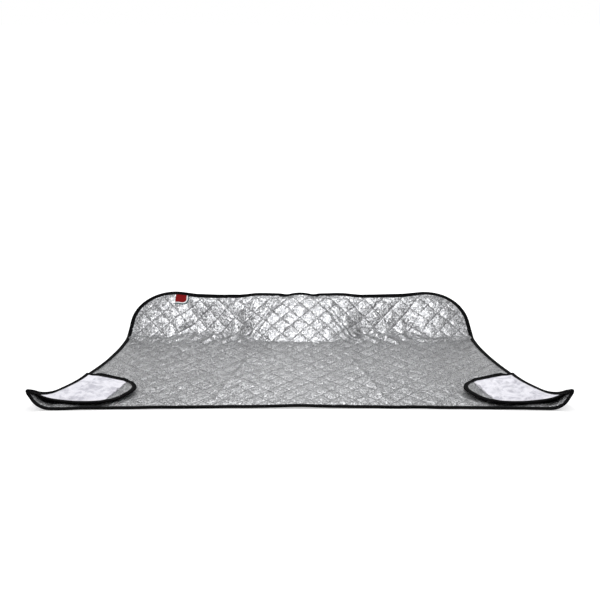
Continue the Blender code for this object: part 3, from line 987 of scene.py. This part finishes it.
FOIL = foil_finish()
FLEECE = fleece_finish()
TAPE_LOOK = tape_finish()
THREAD_GREY = thread_finish("grey_thread_look", (0.22, 0.22, 0.23))
THREAD_WHITE = thread_finish("white_thread_look", (0.75, 0.75, 0.76))
THREAD_BLACK = thread_finish("black_thread_look", (0.01, 0.01, 0.011))
LABEL_RED = label_finish("label_red_look", (0.16, 0.004, 0.005))
LABEL_WHITE = label_finish("label_white_look", (0.70, 0.70, 0.70))
LABEL_TEAL = label_finish("label_teal_look", (0.015, 0.060, 0.065))


def declare(piece, slot, *nodes):
    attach(piece, "root")
    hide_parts(*nodes)


# The cover


def constant(value):
    return lambda flat: np.full(len(flat), value)


def seam_top(edge):
    """Height of the seam tape, which thins out to the front corner past the flap's root."""
    corner = np.linalg.norm(np.array(FRONT_CORNER) - FLAP_SEAM[0])
    far = np.linalg.norm(on_right(edge) - FRONT_CORNER, axis=1)
    return BINDING_TOP + (SEAM_BINDING_TOP - BINDING_TOP) * np.clip(far / corner, 0.0, 1.0)


def build_cover():
    foil = shell(
        "foil_face", COVER, FOIL_STEPS, COARSE_STEPS, foil_top,
        lambda flat: FOIL_BOTTOM + lifted(flat), laid, FOIL,
    )
    declare(foil, "silver_foil", "quilted_foil_face")
    lining = shell(
        "fleece_underside", COVER, COARSE_STEPS, LINING_STEPS,
        lambda flat: LINING_TOP + lifted(flat), lining_bottom, laid, FLEECE,
    )
    declare(lining, "white_fleece", "fleece_lining")
    made = [foil, lining]
    names = ("front", "right_seam", "rear", "left_seam")
    for i, name in enumerate(names):
        top = seam_top if "seam" in name else constant(BINDING_TOP)
        edge = EDGES[i]
        start = np.vstack((EDGES[i - 1][-2], edge[:2]))
        end = np.vstack((edge[-2:], EDGES[(i + 1) % 4][1]))
        ends = (outward_of(start)[0][1], outward_of(end)[0][1])
        piece = tape(f"{name}_tape", edge, ends, 0.0, top, laid, lifted, TAPE_LOOK)
        declare(piece, "black_tape", f"{name}_binding")
        made.append(piece)
        made.append(edge_stitches(f"{name}_tape_thread", edge, top, laid, lifted))
    return made


def split_flap():
    """The flap's lining and tip patch outlines, on the two sides of the patch seam."""
    a, b = (np.array(p) for p in PATCH_SEAM)
    along = unit(b - a)
    tipward = np.array((along[1], -along[0]))
    tipward = -tipward if tipward[0] > 0 else tipward
    outline = resampled(ring(FLAP), FLAP_SPACING)[:-1]
    side = (outline - a) @ tipward
    halves = []
    for sign in (-1, 1):
        keep = side * sign > 0
        start = next(i for i in range(len(keep)) if keep[i] and not keep[i - 1])
        rolled = np.roll(np.arange(len(keep)), -start)
        count = int(keep.sum())
        run = outline[rolled[:count]]
        ends = []
        for near, beyond in ((run[0], outline[rolled[-1]]), (run[-1], outline[rolled[count]])):
            d0 = (near - a) @ tipward
            d1 = (beyond - a) @ tipward
            ends.append(near + (beyond - near) * d0 / (d0 - d1))
        halves.append(np.vstack((ends[0], run, ends[1])))
    return halves


def flap_wave(flat):
    """Soft wrinkles of the flap's fleece."""
    far, _ = nearest(on_right(flat), ring(FLAP))
    swell_seed, large_seed, small_seed = FLEECE_SEEDS
    swell = waves(flat, 0.5, FLEECE_SWELL_CELL, swell_seed, base=1)
    large, small = FLEECE_CELLS
    wrinkle = crumple(flat, large, large_seed) + SMALL_WRINKLE * crumple(flat, small, small_seed)
    return step(MARGIN, FLEECE_RAMP, far) * (FLEECE_SWELL * swell + FLEECE_WRINKLE * wrinkle)


def patch_wave(flat):
    """Fine wrinkles of the flap's tip patch."""
    far, _ = nearest(on_right(flat), ring(FLAP))
    return PATCH_WRINKLE * crumple(flat, PATCH_CELL, WRINKLE_SEED) * step(MARGIN, PATCH_RAMP, far)


def build_flap(name, side):
    face = shell(
        f"{name}_flap_silver", FLAP, LINING_STEPS, LINING_STEPS,
        constant(FLAP_FACE_TOP), constant(FLAP_BOTTOM), flap_laid, FOIL, side,
    )
    declare(face, "silver_foil", f"{name}_flap_face")
    lining_outline, patch_outline = split_flap()
    lining = shell(
        f"{name}_flap_fleece", lining_outline, FOIL_STEPS, LINING_STEPS,
        lambda flat: FLAP_TOP + flap_wave(flat), constant(FLAP_LINING_BOTTOM),
        flap_laid, FLEECE, side,
    )
    declare(lining, "white_fleece", f"{name}_flap_lining")
    patch = shell(
        f"{name}_flap_patch", patch_outline, FOIL_STEPS, LINING_STEPS,
        lambda flat: FLAP_TOP + patch_wave(flat), constant(FLAP_LINING_BOTTOM),
        flap_laid, FOIL, side,
    )
    declare(patch, "silver_foil", f"{name}_flap_tip_patch")
    fine = resampled(FREE_EDGE, FLAP_EDGE_SPACING)
    path = fine[nearest(fine, SEAM_LINE)[0] > BINDING_WIDTH - FLAP_TAPE_TUCK]
    ends = (unit(FLAP_SEAM[-1] - FLAP_SEAM[-2]), unit(FLAP_SEAM[0] - FLAP_SEAM[1]))
    edge = tape(
        f"{name}_flap_tape", path, ends, FLAP_TAPE_BOTTOM, constant(FLAP_BINDING_TOP), flap_laid,
        constant(0.0), TAPE_LOOK, side,
    )
    declare(edge, "black_tape", f"{name}_flap_binding")
    thread = edge_stitches(
        f"{name}_flap_tape_thread", path, constant(FLAP_BINDING_TOP), flap_laid, constant(0.0), side
    )
    return [face, lining, patch, edge, thread]


# A stitch's corners, as shares of its reach ahead, its half thickness aside and its height, and the
# faces between them
STITCH_CORNERS = ((-1, 0, -0.4), (1, 0, -0.4), (0, 1, 0.2), (0, -1, 0.2), (0, 0, 1.0), (0, 0, -0.6))
STITCH_FACES = (
    (0, 2, 4), (0, 4, 3), (0, 3, 5), (0, 5, 2), (1, 4, 2), (1, 3, 4), (1, 5, 3), (1, 2, 5)
)


def stitches(name, centres, along, spacing, surface, place, finish, out=1.0):
    """Thread stitches on a surface: each a slim lens that dives into the cloth at both ends."""
    reach = along * (spacing * STITCH_SHARE)
    across = np.column_stack((along[:, 1], -along[:, 0])) * THREAD
    made = []
    for ahead, aside, high in STITCH_CORNERS:
        flat = centres + ahead * reach + aside * across
        made.append(place(flat, surface(flat) + out * high * THREAD))
    points = np.stack(made, axis=1).reshape(-1, 3)
    first = len(STITCH_CORNERS) * np.arange(len(centres))
    faces = (np.array(STITCH_FACES) + first[:, None, None]).reshape(-1, 3)
    if out < 0:
        faces = faces[:, ::-1]
    return add_object(name, points, faces.tolist(), finish)


def seam_stitches():
    """Middles and directions of the stitches on the quilting seams, clear of the edges."""
    half = math.hypot(DIAMOND_WIDTH, DIAMOND_DEPTH) / 2
    low = COVER.min(axis=0)
    high = COVER.max(axis=0)
    most = math.ceil(high[0] / DIAMOND_WIDTH + high[1] / DIAMOND_DEPTH)
    seams = np.arange(-most, most + 1)
    ticks = np.arange(-most, most + 1, STITCH / half)
    k, t = (grid.ravel() for grid in np.meshgrid(seams, ticks))
    made = []
    for u, w, turn in ((k, t, -1), (t, k, 1)):
        points = np.column_stack(
            (DIAMOND_WIDTH * (u + w) / 2, DIAMOND_SHIFT + DIAMOND_DEPTH * (u - w) / 2)
        )
        points = points[np.all((points > low) & (points < high), axis=1)]
        points = points[inside(points, COVER)]
        points = points[nearest(points, ring(COVER))[0] > MARGIN]
        way = np.array((DIAMOND_WIDTH, turn * DIAMOND_DEPTH)) / (2 * half)
        made.append((points, np.tile(way, (len(points), 1))))
    return (np.vstack(parts) for parts in zip(*made))


def build_quilting():
    centres, along = seam_stitches()
    bare = (free_of_flap(centres) > 0.5) & (free_of_label(centres) > 0.5)
    top = stitches(
        "quilting_thread", centres[bare], along[bare], STITCH, foil_top, laid, THREAD_GREY
    )
    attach(top, "root")
    under = stitches(
        "quilting_thread_underside", centres, along, STITCH, lining_bottom, laid, THREAD_WHITE, -1.0
    )
    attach(under, "root")
    return [top, under]


def edge_stitches(name, path, top, place, lift, side=1):
    """Stitches along the inner edge of a folded tape."""
    path = resampled(path, EDGE_STITCH)
    out, on = outward_of(path)
    centres = (path - out * (BINDING_WIDTH - EDGE_STITCH_INSET)) * (side, 1)
    from_ends = [np.linalg.norm(path - end, axis=1) for end in (path[0], path[-1])]
    keep = np.minimum(*from_ends) > BINDING_WIDTH + EDGE_STITCH
    high = (top(path) + lift(path * (side, 1)))[keep]
    made = stitches(
        name, centres[keep], on[keep] * (side, 1), EDGE_STITCH,
        lambda flat: high, place, THREAD_BLACK,
    )
    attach(made, "root")
    return made


def build_label():
    """The label sewn under the rear tape: a red panel in a white line and a dark teal trim."""
    left = LABEL_CENTRE_X - LABEL_WIDTH / 2
    right = LABEL_CENTRE_X + LABEL_WIDTH / 2
    back = rear_edge_at(LABEL_CENTRE_X) - BINDING_WIDTH - LABEL_GAP
    made = []
    layers = (("trim", LABEL_TEAL), ("line", LABEL_WHITE), ("panel", LABEL_RED))
    for i, (name, finish) in enumerate(layers):
        inset = i * LABEL_TRIM
        front = back - LABEL_DEPTH + inset
        corner = (right - inset, front)
        radius = LABEL_ROUND - inset
        arc = rounded((left, front), corner, (corner[0], back), radius, SMALL_ARC_STEPS)
        outline = np.vstack(((left, back), (left, front), arc, (corner[0], back)))
        bottom = FOIL_TOP + LABEL_CLEARANCE + LABEL_STEP * i
        piece = shell(
            f"label_{name}", outline, LINING_STEPS, LINING_STEPS,
            lambda flat: bottom + LABEL_THICKNESS + lifted(flat),
            lambda flat: bottom + lifted(flat), laid, finish,
        )
        declare(piece, "red_label", "rear_label")
        made.append(piece)
    return made


def rear_edge_at(x):
    """How far back the rear edge runs at x."""
    rear = EDGES[2]
    behind = rear[rear[:, 1] > REAR_BACK - REAR_RADIUS / 2][::-1]
    return float(np.interp(x, behind[:, 0], behind[:, 1]))


cover = build_cover()
flaps = [build_flap("right", 1), build_flap("left", -1)]
quilting = build_quilting()
label = build_label()

# Stage

floor_mesh = bpy.data.meshes.new("floor")
corners = [(x * FLOOR_REACH, y * FLOOR_REACH, 0) for x, y in ((-1, -1), (1, -1), (1, 1), (-1, 1))]
floor_mesh.from_pydata(corners, [], [(0, 1, 2, 3)])
floor = bpy.data.objects.new("floor", floor_mesh)
bpy.context.scene.collection.objects.link(floor)
floor.location.z = -FLOOR_DROP
floor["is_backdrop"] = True


def seen_directly(tree):
    """1 for rays that show the background itself: from the camera, in gloss or through glass."""
    path = node(tree, "ShaderNodeLightPath")
    first = node(tree, "ShaderNodeMath", operation="ADD")
    both = node(tree, "ShaderNodeMath", operation="ADD", use_clamp=True)
    tree.links.new(path.outputs["Is Camera Ray"], first.inputs[0])
    tree.links.new(path.outputs["Is Glossy Ray"], first.inputs[1])
    tree.links.new(first.outputs[0], both.inputs[0])
    tree.links.new(path.outputs["Is Transmission Ray"], both.inputs[1])
    return both.outputs[0]


ground, tree, shader = new_material("pale_floor", FLOOR_COLOUR, FLOOR_ROUGH)
shader.inputs["Specular IOR Level"].default_value = 0.0
glow = node(tree, "ShaderNodeEmission", Strength=FLOOR_GLOW)
both = node(tree, "ShaderNodeAddShader")
mix = node(tree, "ShaderNodeMixShader")
tree.links.new(shader.outputs[0], both.inputs[0])
tree.links.new(glow.outputs[0], both.inputs[1])
tree.links.new(seen_directly(tree), mix.inputs[0])
tree.links.new(shader.outputs[0], mix.inputs[1])
tree.links.new(both.outputs[0], mix.inputs[2])
tree.links.new(mix.outputs[0], tree.nodes["Material Output"].inputs["Surface"])
floor_mesh.materials.append(ground)

world = bpy.data.worlds.new("studio")
bpy.context.scene.world = world
world.use_nodes = True
tree = world.node_tree
background = tree.nodes["Background"]
background.inputs["Color"].default_value = (1, 1, 1, 1)
strength = node(tree, "ShaderNodeMix", data_type="FLOAT")
strength.inputs["A"].default_value = SURROUNDINGS
strength.inputs["B"].default_value = 1.0
tree.links.new(seen_directly(tree), strength.inputs["Factor"])
tree.links.new(strength.outputs["Result"], background.inputs["Strength"])


def lamp(name, elevation, azimuth, angle, strength):
    """A soft distant lamp: azimuth 0 is ahead of the front edge, and elevation 90 overhead."""
    data = bpy.data.lights.new(name, "SUN")
    data.angle = math.radians(angle)
    data.energy = strength
    made = bpy.data.objects.new(name, data)
    bpy.context.scene.collection.objects.link(made)
    up = math.radians(elevation)
    bearing = math.radians(azimuth)
    level = math.cos(up)
    to_lamp = Vector((math.sin(bearing) * level, -math.cos(bearing) * level, math.sin(up)))
    made.rotation_euler = to_lamp.to_track_quat("Z", "Y").to_euler()


def panel(name, place, target, width, depth, watts):
    """A soft flat lamp that faces a target."""
    data = bpy.data.lights.new(name, "AREA")
    data.shape = "RECTANGLE"
    data.size = width
    data.size_y = depth
    data.energy = watts
    made = bpy.data.objects.new(name, data)
    bpy.context.scene.collection.objects.link(made)
    made.location = place
    made.rotation_euler = (Vector(place) - Vector(target)).to_track_quat("Z", "Y").to_euler()
    made.visible_camera = False


for row in LAMPS:
    lamp(*row)
for row in PANELS:
    panel(*row)

camera_data = bpy.data.cameras.new("camera")
camera_data.lens = CAMERA_LENS
camera_data.sensor_width = SENSOR
camera = bpy.data.objects.new("camera", camera_data)
bpy.context.scene.collection.objects.link(camera)
camera.location = (0, -PLAN_DEPTH / 2 - CAMERA_AHEAD, CAMERA_HEIGHT)
camera.rotation_euler = (math.pi / 2 - CAMERA_PITCH, 0, 0)
bpy.context.scene.camera = camera
bpy.context.scene.view_settings.view_transform = "Standard"


def plain(value):
    """A box as plain lists of numbers."""
    if hasattr(value, "__len__"):
        return [plain(v) for v in value]
    return float(value)


{"cad": plain(CAD_BOX), "visual": plain(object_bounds())}
